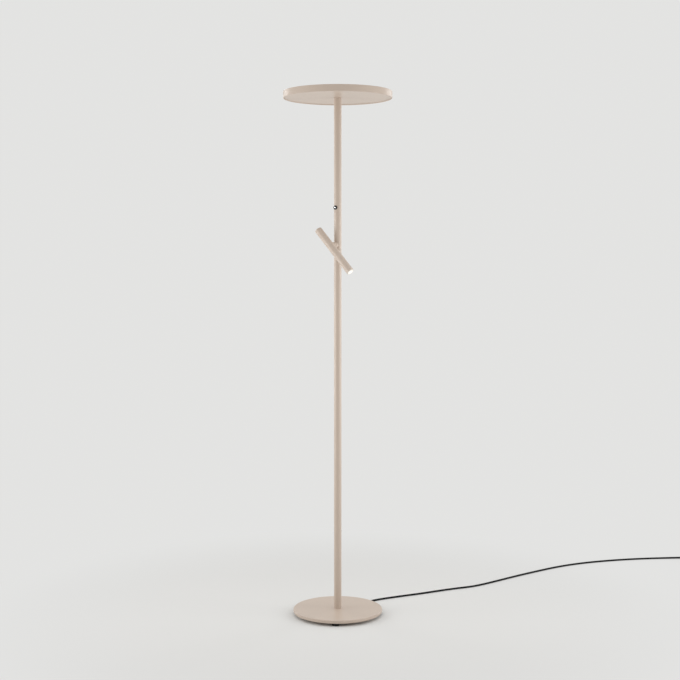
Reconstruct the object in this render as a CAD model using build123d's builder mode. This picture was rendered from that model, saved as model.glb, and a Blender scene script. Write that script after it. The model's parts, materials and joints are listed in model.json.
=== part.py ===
from build123d import *

import os
from math import cos, pi, radians, sin, sqrt, tan

# A floor lamp: a flat round uplight on a slim pole, with a round plate base, a swivelling
# reading light on the pole's front and a push-button dimmer above it. The origin is on the
# floor under the pole's axis, +Z is up, and the front of the lamp faces -Y.

os.makedirs("parts", exist_ok=True)

# Driving dimensions, in millimetres and degrees

overall_height = 1750

# Clearances
seat_gap = 0.05
running_gap = 0.06

# Base
plate_diameter = 300
plate_thickness = 10
plate_top_rounding = 2.5
plate_bottom_rounding = 0.8
foot_count = 4
first_foot_angle = -53
foot_circle_radius = 134
foot_diameter = 24
foot_height = 10
foot_rounding = 1.2
foot_plug_diameter = 8
foot_plug_length = 5

# Pole
pole_diameter = 25
pole_wall = 1.5
pole_joint_height = 880
pole_joint_chamfer = 0.3
joiner_length = 90
joiner_wall = 2

# Fixing of the pole in the base
foot_bush_length = 35
spigot_diameter = 18
spigot_bore = 12.4
foot_nut_size = 27
foot_nut_thickness = 4.6
foot_washer_diameter = 34
foot_washer_thickness = 1.5
nut_pocket_margin = 1.5
nut_pocket_depth = 6.6

# Lead and its clamp under the plate
cord_diameter = 6.4
clamp_width = 30
clamp_length = 16
clamp_outer_end = 126
clamp_floor_gap = 0.5
clamp_rounding = 2.5
clamp_screw_spacing = 20
clamp_screw_diameter = 3.2
clamp_screw_head_diameter = 5.6
clamp_screw_head_height = 2.2
clamp_screw_depth = 5

# Route of the lead inside the pole
entry_bend_radius = 12
entry_offset = -2
cable_gap = 0.5
cable_shift_low = 130
cable_shift_high = 330
cable_shift_radius = 900

# Head
head_diameter = 360
head_rim_height = 22
head_sheet = 1.5
head_lip = 2.6
head_recess = 2.5
head_rim_rounding = 1.2
head_top_rounding = 0.6
diffuser_thickness = 3
diffuser_inset = 1.2
diffuser_edge_gap = 0.3
diffuser_ring_wall = 1.5
diffuser_ledge = 8

# Fixing of the head on the pole
top_bush_length = 25
nipple_diameter = 13
nipple_bore = 10.4
nipple_grip = 20
nipple_proud = 1
head_nut_size = 19
head_nut_thickness = 4
head_washer_diameter = 40
head_washer_thickness = 2

# Light source and driver in the head
ring_board_margin = 15
ring_board_width = 59
ring_board_thickness = 1.6
outer_row_inset = 17
outer_row_count = 28
inner_row_inset = 45
inner_row_count = 20
led_size = 5
led_thickness = 0.9
driver_length = 120
driver_width = 36
driver_height = 11
driver_front = 24
driver_rounding = 2
core_diameter = 2
core_spacing = 3
core_bend_radius = 2.2
signal_diameter = 3
signal_bend_radius = 3
signal_side_step = 16

# Dimmer in the pole
dimmer_drop = 380.5
bezel_diameter = 14
bezel_proud = 1.8
bezel_rounding = 0.7
bezel_sleeve_diameter = 10.8
bezel_lip_depth = 4.1
button_diameter = 4.2
button_proud = 0.6
button_rounding = 0.5
button_collar_diameter = 6
button_collar_thickness = 1
button_travel = 1
button_over_travel = 0.2
plunger_diameter = 3
plunger_length = 4.2
switch_size = 7
switch_gap = 1.4
switch_depth = 3.6
dimmer_board_width = 16
dimmer_board_length = 42
dimmer_board_thickness = 1.2
carrier_thickness = 3.1
carrier_rail = 1.2
carrier_end_margin = 3

# Reading light
pivot_drop = 505
spot_angle = 45
spot_diameter = 25
spot_wall = 1.5
spot_front_reach = 123
spot_rear_reach = 72
rear_cap_thickness = 3
rear_cap_rounding = 1.6
rear_cap_plug = 8
lens_thickness = 4.5
lens_proud = 1.6
lens_rounding = 1.4
lens_seat_depth = 0.5
reflector_length = 16
reflector_wall = 1
reflector_throat = 5
heat_sink_length = 45
heat_sink_groove = 2
heat_sink_groove_depth = 2.4
heat_sink_groove_count = 6
spot_board_thickness = 1.6
spot_board_margin = 1.5
spot_led_diameter = 7
spot_led_thickness = 1

# Pivot of the reading light
hub_diameter = 20
hub_rounding = 0.8
mount_reach = 7.5
pivot_washer_diameter = 18
pivot_washer_thickness = 0.5
boss_reach = 7
boss_spigot_diameter = 13
boss_spigot_proud = 0.2
spring_washer_diameter = 12
spring_washer_thickness = 0.6
bolt_diameter = 8
bolt_bore = 4.6
bolt_head_diameter = 11
bolt_head_thickness = 3
pivot_nut_depth = 5.5
pivot_nut_size = 15
feed_diameter = 3
feed_bend_radius = 4.5
spot_lead_diameter = 2.4
lead_turning_gap = 0.4

# Free lead on the floor: its route from the clamp to the start of the coil
cord_floor = cord_diameter / 2
cord_under = foot_height / 2
coil_lift = 1.3
cord_route = [
    (0, clamp_outer_end, cord_under),
    (0, 158, cord_under),
    (-3, 201, cord_floor),
    (16, 252, cord_floor),
    (40, 308, cord_floor),
    (72, 377, cord_floor),
    (99, 447, cord_floor),
    (128, 515, cord_floor),
    (159, 573, cord_floor),
    (174, 632, cord_floor),
    (186, 701, cord_floor),
    (198, 778, cord_floor),
    (213, 860, cord_floor),
    (230, 941, cord_floor),
    (246, 1012, cord_floor),
    (270, 1086, cord_floor),
    (303, 1160, cord_floor),
    (345, 1232, cord_floor),
    (393, 1302, cord_floor),
    (447, 1369, cord_floor),
    (504, 1429, cord_floor),
    (560, 1480, cord_floor + coil_lift),
    (604, 1512, cord_floor + coil_lift),
]

# Coil of the put-away length, its ties and the plug
coil_outer_radius = 39
coil_pitch = 8
coil_layer_step = 7.2
coil_turns_in = 1.5
coil_turns_climb = 0.5
coil_turns_out = 1.25
coil_straight = 8
coil_tail = 24
tie_angles = (45, 225)
tie_width = 8
tie_thickness = 1
tie_gap = 0.3
tie_side_gap = 0.7
tie_rounding = 2.4
plug_tail_length = 28
plug_tail_tip = 8.6
plug_tail_root = 12
plug_rib_count = 6
plug_groove_width = 1.6
plug_groove_depth = 0.8
plug_shoulder = 14
plug_width = 36
plug_corner = 7
plug_body_length = 26
plug_rounding = 1.5
pin_diameter = 4.8
pin_length = 19
pin_tip = 1.2
pin_spacing = 19

# Sizes that follow from the driving dimensions

plate_radius = plate_diameter / 2
plate_bottom = foot_height
plate_top = plate_bottom + plate_thickness
foot_plug_radius = foot_plug_diameter / 2
pole_radius = pole_diameter / 2
pole_bore = pole_radius - pole_wall
bush_radius = pole_bore - seat_gap
spigot_radius = spigot_diameter / 2
pocket_top = plate_bottom + nut_pocket_depth
foot_nut_top = pocket_top - foot_washer_thickness
foot_nut_bottom = foot_nut_top - foot_nut_thickness
nut_pocket_radius = foot_washer_diameter / 2 + nut_pocket_margin
cord_radius = cord_diameter / 2
clamp_inner_end = clamp_outer_end - clamp_length
clamp_middle = (clamp_outer_end + clamp_inner_end) / 2
clamp_screw_places = [(-clamp_screw_spacing / 2, clamp_middle), (clamp_screw_spacing / 2, clamp_middle)]
clamp_screw_radius = clamp_screw_diameter / 2
clamp_head_radius = clamp_screw_head_diameter / 2
clamp_head_top = clamp_floor_gap + clamp_screw_head_height

head_radius = head_diameter / 2
head_inner_radius = head_radius - head_sheet
rim_bottom = overall_height - head_rim_height
pole_top = rim_bottom + head_recess
dish_floor = pole_top + head_sheet
nipple_radius = nipple_diameter / 2
head_nut_bottom = dish_floor + head_washer_thickness
nipple_top = head_nut_bottom + head_nut_thickness + nipple_proud
diffuser_top = overall_height - diffuser_inset
diffuser_bottom = diffuser_top - diffuser_thickness
ring_board_outer = head_radius - ring_board_margin
ring_board_inner = ring_board_outer - ring_board_width
ring_board_top = dish_floor + ring_board_thickness
cable_top_offset = nipple_bore / 2 - cord_radius - seat_gap
signal_offset = signal_diameter / 2 + seat_gap - nipple_bore / 2
lead_bed = nipple_top + signal_diameter / 2 + cable_gap

# Heights of the dimmer and of the pivot, both measured down from the lamp's top
dimmer_height = overall_height - dimmer_drop
pivot_height = overall_height - pivot_drop

# Distances in front of the pole's axis at the dimmer
bezel_face = pole_radius + bezel_proud
bezel_shoulder = bezel_face - bezel_lip_depth
button_collar_front = bezel_shoulder - seat_gap
button_back = button_collar_front - button_collar_thickness
button_stop = button_travel + button_over_travel
sleeve_end = button_back - button_stop
switch_face = sleeve_end - switch_gap
dimmer_board_front = switch_face - switch_depth
dimmer_board_back = dimmer_board_front - dimmer_board_thickness
carrier_back = dimmer_board_back - carrier_thickness
carrier_length = dimmer_board_length - 2 * carrier_end_margin
cable_offset = cable_gap + cord_radius - carrier_back

# Distances in front of the pole's axis at the pivot
spot_radius = spot_diameter / 2
spot_bore = spot_radius - spot_wall
hub_radius = hub_diameter / 2
mount_face = pole_radius + mount_reach
boss_face = mount_face + pivot_washer_thickness
spot_axis = boss_face + boss_reach + spot_radius
boss_spigot_radius = boss_spigot_diameter / 2
boss_seat = spot_axis - sqrt(spot_bore**2 - boss_spigot_radius**2) + boss_spigot_proud
bolt_head_seat = boss_seat + spring_washer_thickness
bolt_head_end = bolt_head_seat + bolt_head_thickness
bolt_radius = bolt_diameter / 2
pivot_nut_end = pole_bore - pivot_nut_depth
feed_offset = pivot_nut_end - feed_bend_radius

# Distances along the reading light from its pivot towards the lens
spot_tube_rear = rear_cap_thickness - spot_rear_reach
lens_front = spot_front_reach + lens_proud
lens_back = lens_front - lens_thickness
reflector_back = lens_back - seat_gap - reflector_length
spot_board_front = reflector_back - seat_gap
spot_board_back = spot_board_front - spot_board_thickness
heat_sink_back = spot_board_back - heat_sink_length
lens_radius = spot_bore + lens_seat_depth

# Planes for profiles: local X is a radius, local Y runs along the turning axis

lamp_profile = Plane.XZ
spot_direction = Vector(sin(radians(spot_angle)), 0, -cos(radians(spot_angle)))
spot_centre = Vector(0, -spot_axis, pivot_height)
spot_profile = Plane(
    origin=spot_centre,
    x_dir=(0, -1, 0),
    z_dir=(cos(radians(spot_angle)), 0, sin(radians(spot_angle))),
)
spot_end_view = Plane(origin=spot_centre, x_dir=(0, -1, 0), z_dir=spot_direction)


def front_profile(height):
    """A profile plane for what turns about an axis that points forwards from the pole."""
    return Plane(origin=(0, 0, height), x_dir=(1, 0, 0), z_dir=(0, 0, -1))


def front_plane(height, distance=0):
    """A plane that faces the front, at a distance before the pole's axis."""
    return Plane(origin=(0, -distance, height), x_dir=(1, 0, 0), z_dir=(0, -1, 0))


def ring(inner, outer, low, high):
    """The section of a plain ring, between two radii and two places along its axis."""
    return (inner, low), (outer, low), (outer, high), (inner, high)


def turned(plane, *profile):
    """Turn a closed profile about the Y axis of its plane."""
    with BuildPart() as piece:
        with BuildSketch(plane):
            with BuildLine():
                Polyline(*profile, close=True)
            make_face()
        revolve(axis=Axis(plane.origin, plane.y_dir))
    return piece


def hex_nut(across_flats, hole_radius, bottom, thickness):
    """A hexagon nut on the lamp's axis."""
    with BuildPart() as piece:
        with BuildSketch(Plane.XY.offset(bottom)):
            RegularPolygon(across_flats / 2, 6, major_radius=False)
            Circle(hole_radius, mode=Mode.SUBTRACT)
        extrude(amount=thickness)
    return piece


def lead(points, radii, diameter):
    """A round lead along straight runs that are joined by tangent arcs."""
    with BuildPart() as piece:
        with BuildLine() as route:
            FilletPolyline(*points, radius=radii)
        with BuildSketch(Plane(origin=route.line @ 0, z_dir=route.line % 0)):
            Circle(diameter / 2)
        sweep()
    return piece


def save(piece, name):
    """Label a finished piece and write it."""
    piece.part.label = name
    export_step(piece.part, f"parts/{name}.step")


# Base plate: a round steel plate with a pocket for the nut and sockets for the feet

with BuildPart() as base_plate:
    with BuildSketch(Plane.XY.offset(plate_bottom)):
        Circle(plate_radius)
    extrude(amount=plate_thickness)
    fillet(base_plate.edges().group_by(Axis.Z)[-1], radius=plate_top_rounding)
    fillet(base_plate.edges().group_by(Axis.Z)[0], radius=plate_bottom_rounding)
    with BuildSketch(Plane.XY.offset(plate_bottom)):
        Circle(spigot_radius + seat_gap)
    extrude(amount=plate_thickness, mode=Mode.SUBTRACT)
    with BuildSketch(Plane.XY.offset(plate_bottom)):
        Circle(nut_pocket_radius)
    extrude(amount=nut_pocket_depth, mode=Mode.SUBTRACT)
    with BuildSketch(Plane.XY.offset(plate_bottom)):
        with PolarLocations(foot_circle_radius, foot_count, start_angle=first_foot_angle):
            Circle(foot_plug_radius + seat_gap)
    extrude(amount=foot_plug_length + seat_gap, mode=Mode.SUBTRACT)
    with BuildSketch(Plane.XY.offset(plate_bottom)):
        with Locations(*clamp_screw_places):
            Circle(clamp_screw_radius + seat_gap)
    extrude(amount=clamp_screw_depth + seat_gap, mode=Mode.SUBTRACT)
save(base_plate, "base_plate")

# Rubber feet: each has a plug that is pressed into a socket of the plate

with BuildPart() as base_feet:
    with BuildSketch():
        with PolarLocations(foot_circle_radius, foot_count, start_angle=first_foot_angle):
            Circle(foot_diameter / 2)
    extrude(amount=foot_height)
    fillet(base_feet.edges().group_by(Axis.Z)[0], radius=foot_rounding)
    with BuildSketch(Plane.XY.offset(foot_height)):
        with PolarLocations(foot_circle_radius, foot_count, start_angle=first_foot_angle):
            Circle(foot_plug_radius)
    extrude(amount=foot_plug_length)
save(base_feet, "base_feet")

# Fixing of the pole: a bush in its lower end, whose hollow spigot is clamped from below

pole_foot = turned(
    lamp_profile,
    (spigot_bore / 2, foot_nut_bottom),
    (spigot_radius, foot_nut_bottom),
    (spigot_radius, plate_top),
    (bush_radius, plate_top),
    (bush_radius, plate_top + foot_bush_length),
    (spigot_bore / 2, plate_top + foot_bush_length),
)
save(pole_foot, "pole_foot")

foot_washer = turned(
    lamp_profile, *ring(spigot_radius + seat_gap, foot_washer_diameter / 2, foot_nut_top, pocket_top)
)
save(foot_washer, "foot_washer")

foot_nut = hex_nut(foot_nut_size, spigot_radius + seat_gap, foot_nut_bottom, foot_nut_thickness)
save(foot_nut, "foot_nut")

# Clamp that holds the lead under the plate, with its two screws

with BuildPart() as cord_clamp:
    with BuildSketch(Plane.XY.offset(clamp_floor_gap)):
        with Locations((0, clamp_middle)):
            RectangleRounded(clamp_width, clamp_length, clamp_rounding)
    extrude(amount=plate_bottom - clamp_floor_gap)
    with BuildSketch(Plane.XZ.offset(-clamp_outer_end)):
        with Locations((0, cord_under)):
            Circle(cord_radius + seat_gap)
    extrude(amount=clamp_length, mode=Mode.SUBTRACT)
    with BuildSketch(Plane.XY.offset(clamp_floor_gap)):
        with Locations(*clamp_screw_places):
            Circle(clamp_screw_radius + seat_gap)
    extrude(amount=plate_bottom, mode=Mode.SUBTRACT)
    with BuildSketch(Plane.XY.offset(clamp_floor_gap)):
        with Locations(*clamp_screw_places):
            Circle(clamp_head_radius + seat_gap)
    extrude(amount=clamp_screw_head_height, mode=Mode.SUBTRACT)
save(cord_clamp, "cord_clamp")

with BuildPart() as cord_clamp_screws:
    with BuildSketch(Plane.XY.offset(clamp_floor_gap)):
        with Locations(*clamp_screw_places):
            Circle(clamp_head_radius)
    extrude(amount=clamp_screw_head_height)
    with BuildSketch(Plane.XY.offset(clamp_head_top)):
        with Locations(*clamp_screw_places):
            Circle(clamp_screw_radius)
    extrude(amount=plate_bottom + clamp_screw_depth - clamp_head_top)
save(cord_clamp_screws, "cord_clamp_screws")

# Pole: two tubes that butt together on a sleeve

with BuildPart() as lower_pole:
    with BuildSketch(Plane.XY.offset(plate_top)):
        Circle(pole_radius)
        Circle(pole_bore, mode=Mode.SUBTRACT)
    extrude(amount=pole_joint_height - plate_top)
    chamfer(lower_pole.edges().group_by(Axis.Z)[-1].sort_by(SortBy.RADIUS)[-1], length=pole_joint_chamfer)
save(lower_pole, "lower_pole")

with BuildPart() as upper_pole:
    with BuildSketch(Plane.XY.offset(pole_joint_height)):
        Circle(pole_radius)
        Circle(pole_bore, mode=Mode.SUBTRACT)
    extrude(amount=pole_top - pole_joint_height)
    chamfer(upper_pole.edges().group_by(Axis.Z)[0].sort_by(SortBy.RADIUS)[-1], length=pole_joint_chamfer)
    with BuildSketch(front_plane(dimmer_height)):
        Circle(bezel_sleeve_diameter / 2 + seat_gap)
    extrude(amount=pole_diameter, mode=Mode.SUBTRACT)
    with BuildSketch(front_plane(pivot_height)):
        Circle(bolt_radius + seat_gap)
    extrude(amount=pole_diameter, mode=Mode.SUBTRACT)
save(upper_pole, "upper_pole")

pole_joiner = turned(
    lamp_profile,
    *ring(
        bush_radius - joiner_wall,
        bush_radius,
        pole_joint_height - joiner_length / 2,
        pole_joint_height + joiner_length / 2,
    ),
)
save(pole_joiner, "pole_joiner")

# Lead inside the lamp: through the clamp, up the hollow spigot and the pole to the head

pole_cable = lead(
    [
        (0, clamp_outer_end, cord_under),
        (0, entry_offset, cord_under),
        (0, entry_offset, plate_top + cable_shift_low),
        (0, cable_offset, plate_top + cable_shift_high),
        (0, cable_offset, pole_top - cable_shift_high),
        (0, cable_top_offset, pole_top - cable_shift_low),
        (0, cable_top_offset, nipple_top),
    ],
    [entry_bend_radius] + 4 * [cable_shift_radius],
    cord_diameter,
)
save(pole_cable, "pole_cable")

# Fixing of the head: a bush in the pole's upper end, a hollow nipple, a washer and a nut

pole_top_bush = turned(
    lamp_profile, *ring(nipple_radius + seat_gap, bush_radius, pole_top - top_bush_length, pole_top)
)
save(pole_top_bush, "pole_top_bush")

head_nipple = turned(lamp_profile, *ring(nipple_bore / 2, nipple_radius, pole_top - nipple_grip, nipple_top))
save(head_nipple, "head_nipple")

head_washer = turned(
    lamp_profile,
    *ring(nipple_radius + seat_gap, head_washer_diameter / 2, dish_floor, head_nut_bottom),
)
save(head_washer, "head_washer")

head_nut = hex_nut(head_nut_size, nipple_radius + seat_gap, head_nut_bottom, head_nut_thickness)
save(head_nut, "head_nut")

# Head: a shallow spun dish, its floor raised inside the lower lip of the rim

with BuildPart() as head_shell:
    with BuildSketch(lamp_profile):
        with BuildLine():
            Polyline(
                (nipple_radius + seat_gap, pole_top),
                (head_radius - head_lip, pole_top),
                (head_radius - head_lip, rim_bottom),
                (head_radius, rim_bottom),
                (head_radius, overall_height),
                (head_inner_radius, overall_height),
                (head_inner_radius, dish_floor),
                (nipple_radius + seat_gap, dish_floor),
                close=True,
            )
        make_face()
    revolve(axis=Axis.Z)
    fillet(head_shell.edges().group_by(Axis.Z)[0], radius=head_rim_rounding)
    fillet(head_shell.edges().group_by(Axis.Z)[-1], radius=head_top_rounding)
save(head_shell, "head_shell")

# Ledge ring inside the rim, and the opal disc that lies on it

diffuser_ring_outer = head_inner_radius - seat_gap
diffuser_ring_inner = diffuser_ring_outer - diffuser_ring_wall
diffuser_ring = turned(
    lamp_profile,
    (diffuser_ring_inner, dish_floor),
    (diffuser_ring_outer, dish_floor),
    (diffuser_ring_outer, diffuser_bottom),
    (diffuser_ring_outer - diffuser_ledge, diffuser_bottom),
    (diffuser_ring_outer - diffuser_ledge, diffuser_bottom - diffuser_ring_wall),
    (diffuser_ring_inner, diffuser_bottom - diffuser_ring_wall),
)
save(diffuser_ring, "diffuser_ring")

head_diffuser = turned(
    lamp_profile, *ring(0, head_inner_radius - diffuser_edge_gap, diffuser_bottom, diffuser_top)
)
save(head_diffuser, "head_diffuser")

# Light source: a ring board on the dish's floor with two rows of light-emitting packages

led_ring_board = turned(
    lamp_profile, *ring(ring_board_inner, ring_board_outer, dish_floor, ring_board_top)
)
save(led_ring_board, "led_ring_board")

with BuildPart() as head_leds:
    with BuildSketch(Plane.XY.offset(ring_board_top)):
        with PolarLocations(ring_board_outer - outer_row_inset, outer_row_count):
            Rectangle(led_size, led_size)
        with PolarLocations(ring_board_outer - inner_row_inset, inner_row_count):
            Rectangle(led_size, led_size)
    extrude(amount=led_thickness)
save(head_leds, "head_leds")

# Driver beside the nut, and the two cores that join the lead to it

with BuildPart() as led_driver:
    with BuildSketch(Plane.XY.offset(dish_floor)):
        with Locations((0, driver_front + driver_width / 2)):
            RectangleRounded(driver_length, driver_width, driver_rounding)
    extrude(amount=driver_height)
    fillet(led_driver.edges().group_by(Axis.Z)[-1], radius=driver_rounding / 2)
save(led_driver, "led_driver")

with BuildPart() as driver_leads:
    for side in (-1, 1):
        core_x = side * core_spacing / 2
        with BuildLine() as core_route:
            FilletPolyline(
                (core_x, cable_top_offset, nipple_top),
                (core_x, cable_top_offset, nipple_top + core_bend_radius + core_diameter / 4),
                (core_x, driver_front, nipple_top + core_bend_radius + core_diameter / 4),
                radius=core_bend_radius,
            )
        with BuildSketch(Plane(origin=core_route.line @ 0, z_dir=core_route.line % 0)):
            Circle(core_diameter / 2)
        sweep()
save(driver_leads, "driver_leads")

# Lead from the driver down to the dimmer's board

control_lead = lead(
    [
        (signal_side_step, driver_front, lead_bed),
        (signal_side_step, signal_offset, lead_bed),
        (0, signal_offset, lead_bed),
        (0, signal_offset, dimmer_height + dimmer_board_length / 2),
    ],
    [signal_bend_radius, signal_bend_radius],
    signal_diameter,
)
save(control_lead, "control_lead")

# Dimmer: a black bezel in the pole's wall, cut to sit on the round of the pole

with BuildPart() as dimmer_bezel:
    with BuildSketch(front_plane(dimmer_height)):
        Circle(bezel_diameter / 2)
    extrude(amount=bezel_face)
    with BuildSketch(Plane.XY.offset(dimmer_height - bezel_diameter)):
        Circle(pole_radius + seat_gap)
    extrude(amount=2 * bezel_diameter, mode=Mode.SUBTRACT)
    fillet(dimmer_bezel.edges().group_by(Axis.Y)[0], radius=bezel_rounding)
    with BuildSketch(front_plane(dimmer_height, sleeve_end)):
        Circle(bezel_sleeve_diameter / 2)
    extrude(amount=bezel_face - bezel_rounding - sleeve_end)
    with BuildSketch(front_plane(dimmer_height, sleeve_end)):
        Circle(button_diameter / 2 + running_gap)
    extrude(amount=bezel_face - sleeve_end, mode=Mode.SUBTRACT)
    with BuildSketch(front_plane(dimmer_height, sleeve_end)):
        Circle(button_collar_diameter / 2 + running_gap)
    extrude(amount=bezel_shoulder - sleeve_end, mode=Mode.SUBTRACT)
save(dimmer_bezel, "dimmer_bezel")

# Button cap with a collar behind the bezel's shoulder, and the switch's plunger behind it

with BuildPart() as dimmer_button:
    with BuildSketch(front_plane(dimmer_height, button_back)):
        Circle(button_diameter / 2)
    extrude(amount=bezel_face + button_proud - button_back)
    fillet(dimmer_button.edges().group_by(Axis.Y)[0], radius=button_rounding)
    with BuildSketch(front_plane(dimmer_height, button_back)):
        Circle(button_collar_diameter / 2)
    extrude(amount=button_collar_thickness)
save(dimmer_button, "dimmer_button")

dimmer_plunger = turned(
    front_profile(dimmer_height), *ring(0, plunger_diameter / 2, button_back - plunger_length, button_back)
)
save(dimmer_plunger, "dimmer_plunger")

# Switch on its board, in a carrier that fits the pole's bore

with BuildPart() as dimmer_switch:
    with BuildSketch(front_plane(dimmer_height, dimmer_board_front)):
        Rectangle(switch_size, switch_size)
    extrude(amount=switch_depth)
    with BuildSketch(front_plane(dimmer_height, button_back - plunger_length - button_stop)):
        Circle(plunger_diameter / 2 + running_gap)
    extrude(amount=switch_depth, mode=Mode.SUBTRACT)
save(dimmer_switch, "dimmer_switch")

with BuildPart() as dimmer_board:
    with BuildSketch(front_plane(dimmer_height, dimmer_board_back)):
        Rectangle(dimmer_board_width, dimmer_board_length)
    extrude(amount=dimmer_board_thickness)
save(dimmer_board, "dimmer_board")

with BuildPart() as dimmer_carrier:
    with BuildSketch(Plane.XY.offset(dimmer_height - carrier_length / 2)):
        Circle(bush_radius)
        with Locations((0, -(carrier_back + dimmer_board_front + carrier_rail) / 2)):
            Rectangle(
                pole_diameter, dimmer_board_front + carrier_rail - carrier_back, mode=Mode.INTERSECT
            )
        with Locations((0, -dimmer_board_back - pole_radius)):
            Rectangle(dimmer_board_width + 2 * seat_gap, pole_diameter, mode=Mode.SUBTRACT)
    extrude(amount=carrier_length)
save(dimmer_carrier, "dimmer_carrier")

# Lead from the dimmer's board down to the pivot and through its hollow bolt

spot_feed_lead = lead(
    [
        (0, -feed_offset, dimmer_height - dimmer_board_length / 2),
        (0, -feed_offset, pivot_height),
        (0, -bolt_head_end, pivot_height),
    ],
    [feed_bend_radius],
    feed_diameter,
)
save(spot_feed_lead, "spot_feed_lead")

# Pivot: a boss cut to sit on the pole, a saddle nut inside the pole and a hollow bolt

with BuildPart() as pivot_mount:
    with BuildSketch(front_plane(pivot_height)):
        Circle(hub_radius)
    extrude(amount=mount_face)
    fillet(pivot_mount.edges().group_by(Axis.Y)[0], radius=hub_rounding)
    with BuildSketch(Plane.XY.offset(pivot_height - hub_diameter)):
        Circle(pole_radius + seat_gap)
    extrude(amount=2 * hub_diameter, mode=Mode.SUBTRACT)
    with BuildSketch(front_plane(pivot_height)):
        Circle(bolt_radius + seat_gap)
    extrude(amount=mount_face, mode=Mode.SUBTRACT)
save(pivot_mount, "pivot_mount")

with BuildPart() as pivot_nut:
    with BuildSketch(Plane.XY.offset(pivot_height - pivot_nut_size / 2)):
        Circle(bush_radius)
        with Locations((0, -pivot_nut_end - pole_radius)):
            Rectangle(pivot_nut_size, pole_diameter, mode=Mode.INTERSECT)
    extrude(amount=pivot_nut_size)
    with BuildSketch(front_plane(pivot_height)):
        Circle(bolt_radius + seat_gap)
    extrude(amount=pole_diameter, mode=Mode.SUBTRACT)
save(pivot_nut, "pivot_nut")

pivot_bolt = turned(
    front_profile(pivot_height),
    (bolt_bore / 2, pivot_nut_end),
    (bolt_radius, pivot_nut_end),
    (bolt_radius, bolt_head_seat),
    (bolt_head_diameter / 2, bolt_head_seat),
    (bolt_head_diameter / 2, bolt_head_end),
    (bolt_bore / 2, bolt_head_end),
)
save(pivot_bolt, "pivot_bolt")

pivot_washer = turned(
    front_profile(pivot_height),
    *ring(bolt_radius + running_gap, pivot_washer_diameter / 2, mount_face, boss_face),
)
save(pivot_washer, "pivot_washer")

pivot_spring_washer = turned(
    front_profile(pivot_height),
    *ring(bolt_radius + running_gap, spring_washer_diameter / 2, boss_seat, bolt_head_seat),
)
save(pivot_spring_washer, "pivot_spring_washer")

# Boss of the reading light: cut to the round of its tube, with a spigot through the tube's wall

with BuildPart() as spot_boss:
    with BuildSketch(front_plane(pivot_height, boss_face)):
        Circle(hub_radius)
    extrude(amount=spot_axis - boss_face)
    fillet(spot_boss.edges().group_by(Axis.Y)[-1], radius=hub_rounding)
    with BuildSketch(spot_end_view):
        Circle(spot_radius + seat_gap)
    extrude(amount=hub_diameter, both=True, mode=Mode.SUBTRACT)
    with BuildSketch(front_plane(pivot_height, boss_face + hub_rounding)):
        Circle(boss_spigot_radius)
    extrude(amount=boss_seat - boss_face - hub_rounding)
    with BuildSketch(front_plane(pivot_height, boss_face)):
        Circle(bolt_radius + running_gap)
    extrude(amount=boss_seat - boss_face, mode=Mode.SUBTRACT)
save(spot_boss, "spot_boss")

# Tube of the reading light, with a seat for the lens and a hole for the boss

with BuildPart() as spot_tube:
    with BuildSketch(spot_profile):
        with BuildLine():
            Polyline(
                (spot_bore, spot_tube_rear),
                (spot_radius, spot_tube_rear),
                (spot_radius, spot_front_reach),
                (lens_radius, spot_front_reach),
                (lens_radius, lens_back),
                (spot_bore, lens_back),
                close=True,
            )
        make_face()
    revolve(axis=Axis(spot_centre, spot_direction))
    with BuildSketch(front_plane(pivot_height, boss_face)):
        Circle(boss_spigot_radius + seat_gap)
    extrude(amount=spot_axis - boss_face, mode=Mode.SUBTRACT)
save(spot_tube, "spot_tube")

with BuildPart() as spot_rear_cap:
    with BuildSketch(spot_profile):
        with BuildLine():
            Polyline(
                (0, -spot_rear_reach),
                (spot_radius, -spot_rear_reach),
                (spot_radius, spot_tube_rear),
                (spot_bore - seat_gap, spot_tube_rear),
                (spot_bore - seat_gap, spot_tube_rear + rear_cap_plug),
                (0, spot_tube_rear + rear_cap_plug),
                close=True,
            )
        make_face()
    revolve(axis=Axis(spot_centre, spot_direction))
    fillet(
        spot_rear_cap.edges().sort_by(Axis(spot_centre, spot_direction))[0], radius=rear_cap_rounding
    )
save(spot_rear_cap, "spot_rear_cap")

# Inside the reading light: a grooved heat sink, the light source, a reflector and the lens

heat_sink_radius = spot_bore - seat_gap
heat_sink_hole_radius = spot_lead_diameter / 2 + seat_gap
heat_sink_pitch = heat_sink_length / (heat_sink_groove_count + 1)
with BuildPart() as spot_heat_sink:
    with BuildSketch(spot_profile):
        with BuildLine():
            Polyline(
                *ring(heat_sink_hole_radius, heat_sink_radius, heat_sink_back, spot_board_back), close=True
            )
        make_face()
        for groove in range(1, heat_sink_groove_count + 1):
            with Locations((heat_sink_radius, heat_sink_back + groove * heat_sink_pitch)):
                Rectangle(2 * heat_sink_groove_depth, heat_sink_groove, mode=Mode.SUBTRACT)
    revolve(axis=Axis(spot_centre, spot_direction))
save(spot_heat_sink, "spot_heat_sink")

spot_led_board = turned(
    spot_profile,
    (0, spot_board_back),
    (spot_bore - spot_board_margin, spot_board_back),
    (spot_bore - spot_board_margin, spot_board_front),
    (spot_led_diameter / 2, spot_board_front),
    (spot_led_diameter / 2, spot_board_front + spot_led_thickness),
    (0, spot_board_front + spot_led_thickness),
)
save(spot_led_board, "spot_led_board")

spot_reflector = turned(
    spot_profile,
    (reflector_throat, reflector_back),
    (spot_bore - spot_board_margin, reflector_back),
    (heat_sink_radius, lens_back - seat_gap),
    (heat_sink_radius - reflector_wall, lens_back - seat_gap),
)
save(spot_reflector, "spot_reflector")

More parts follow.
